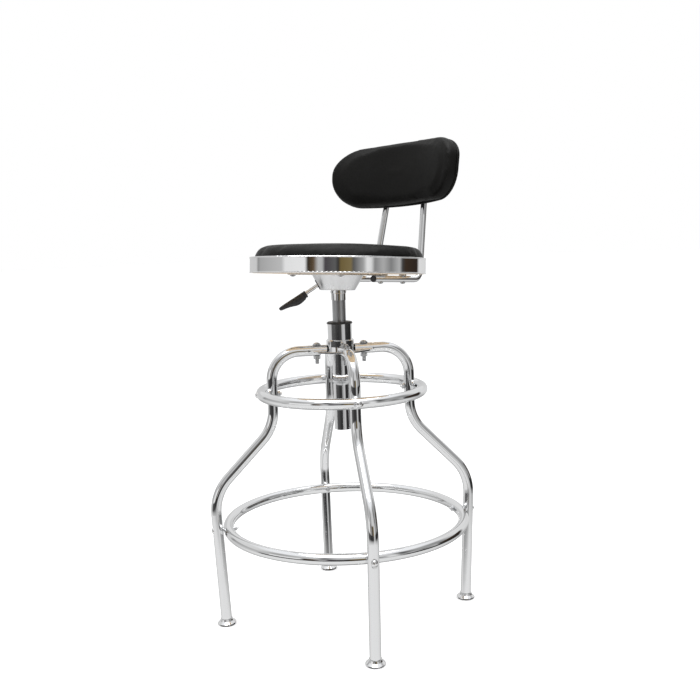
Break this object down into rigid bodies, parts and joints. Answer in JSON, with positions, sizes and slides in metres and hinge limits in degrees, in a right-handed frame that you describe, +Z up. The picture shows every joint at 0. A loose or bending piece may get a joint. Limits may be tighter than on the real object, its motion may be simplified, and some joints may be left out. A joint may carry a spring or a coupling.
{
  "type": "swivel stool",
  "caption": "Height-adjustable swivel stool with chrome tube legs, foot rings, a round padded seat, a lift lever and a curved backrest.",
  "frame": {"origin": "centre of the floor under the column, at the bottom of the foot glides", "axes": "+Z up along the column; the sitter faces -Y and the backrest is at +Y; +X is the sitter's left"},
  "size_m": [0.5222, 0.5264, 1.0129],
  "materials": {
    "chrome_tube": "bright chrome plate",
    "chrome_trim": "bright chrome plate",
    "zinc_fastener": "bright zinc plate",
    "inner_steel": "ground steel",
    "lift_cylinder": "satin grey",
    "light_casting": "satin silver",
    "black_plastic": "fine textured black",
    "black_rubber": "matte",
    "vinyl": "fine-grained black vinyl",
    "plywood": "raw plywood",
    "aluminium_part": "machined"
  },
  "bodies": {
    "base": {"leg_front_left": "chrome_tube", "leg_front_right": "chrome_tube", "leg_rear_left": "chrome_tube", "leg_rear_right": "chrome_tube", "upper_foot_ring": "chrome_tube", "lower_foot_ring": "chrome_tube", "hub_plate": "chrome_trim", "hub_collar": "chrome_trim", "column_sleeve": "chrome_trim", "column_lower_tube": "chrome_trim", "column_end_cap": "chrome_trim", "column_bush": "black_plastic", "foot_glide_cups": "chrome_trim", "foot_glide_pads": "black_plastic", "upper_ring_bolts": "chrome_trim", "upper_ring_nuts": "zinc_fastener", "lower_ring_bolts": "chrome_trim", "lower_ring_nuts": "zinc_fastener", "leg_clamp_bolts": "zinc_fastener", "leg_clamp_washers": "zinc_fastener", "leg_clamp_nuts": "zinc_fastener", "bearing_lower_race": "inner_steel", "bearing_balls": "inner_steel"},
    "lift_rod": {"bearing_upper_race": "inner_steel", "bump_ring": "black_rubber", "rod_retaining_clip": "zinc_fastener", "piston_rod": "inner_steel", "piston": "aluminium_part"},
    "seat": {"gas_cylinder": "lift_cylinder", "cylinder_end_guide": "black_plastic", "taper_socket": "chrome_trim", "mechanism_dish": "light_casting", "lever_grommet": "black_plastic", "mount_plate": "light_casting", "seat_board": "plywood", "t_nuts": "zinc_fastener", "seat_band": "chrome_trim", "seat_cushion": "vinyl", "plate_screws": "zinc_fastener", "backrest_rod_left": "chrome_tube", "backrest_rod_right": "chrome_tube", "rod_end_caps": "black_plastic", "rod_screws": "zinc_fastener", "rod_spacers": "zinc_fastener", "backrest_pad": "vinyl", "backrest_board": "vinyl", "backrest_tab_left": "black_plastic", "backrest_tab_right": "black_plastic", "backrest_screws": "zinc_fastener", "lever_bracket": "inner_steel", "lever_pivot_pin": "inner_steel"},
    "lever": {"lever_rod": "chrome_trim", "lever_handle": "black_plastic"},
    "valve": {"valve_pin": "inner_steel"}
  },
  "joints": [
    {"name": "seat_swivel", "type": "hinge", "parent": "base", "child": "lift_rod", "pos_m": [0, 0, 0.41], "axis": [0, 0, 1], "continuous": true},
    {"name": "gas_lift", "type": "slide", "parent": "lift_rod", "child": "seat", "axis": [0, 0, 1], "range_m": [-0.04, 0.08]},
    {"name": "lever_lift", "type": "hinge", "parent": "seat", "child": "lever", "pos_m": [-0.01838, -0.01915, 0.71639], "axis": [-0.7071, 0.7058, -0.0426], "range_deg": [0, 6], "stiffness_Nm_per_rad": 2, "springref_deg": -5.73},
    {"name": "valve_press", "type": "slide", "parent": "seat", "child": "valve", "axis": [0, 0, -1], "range_m": [0, 0.0028]}
  ],
  "couplings": [
    {"joint": "valve_press", "follows": "lever_lift", "m_per_rad": 0.026}
  ]
}
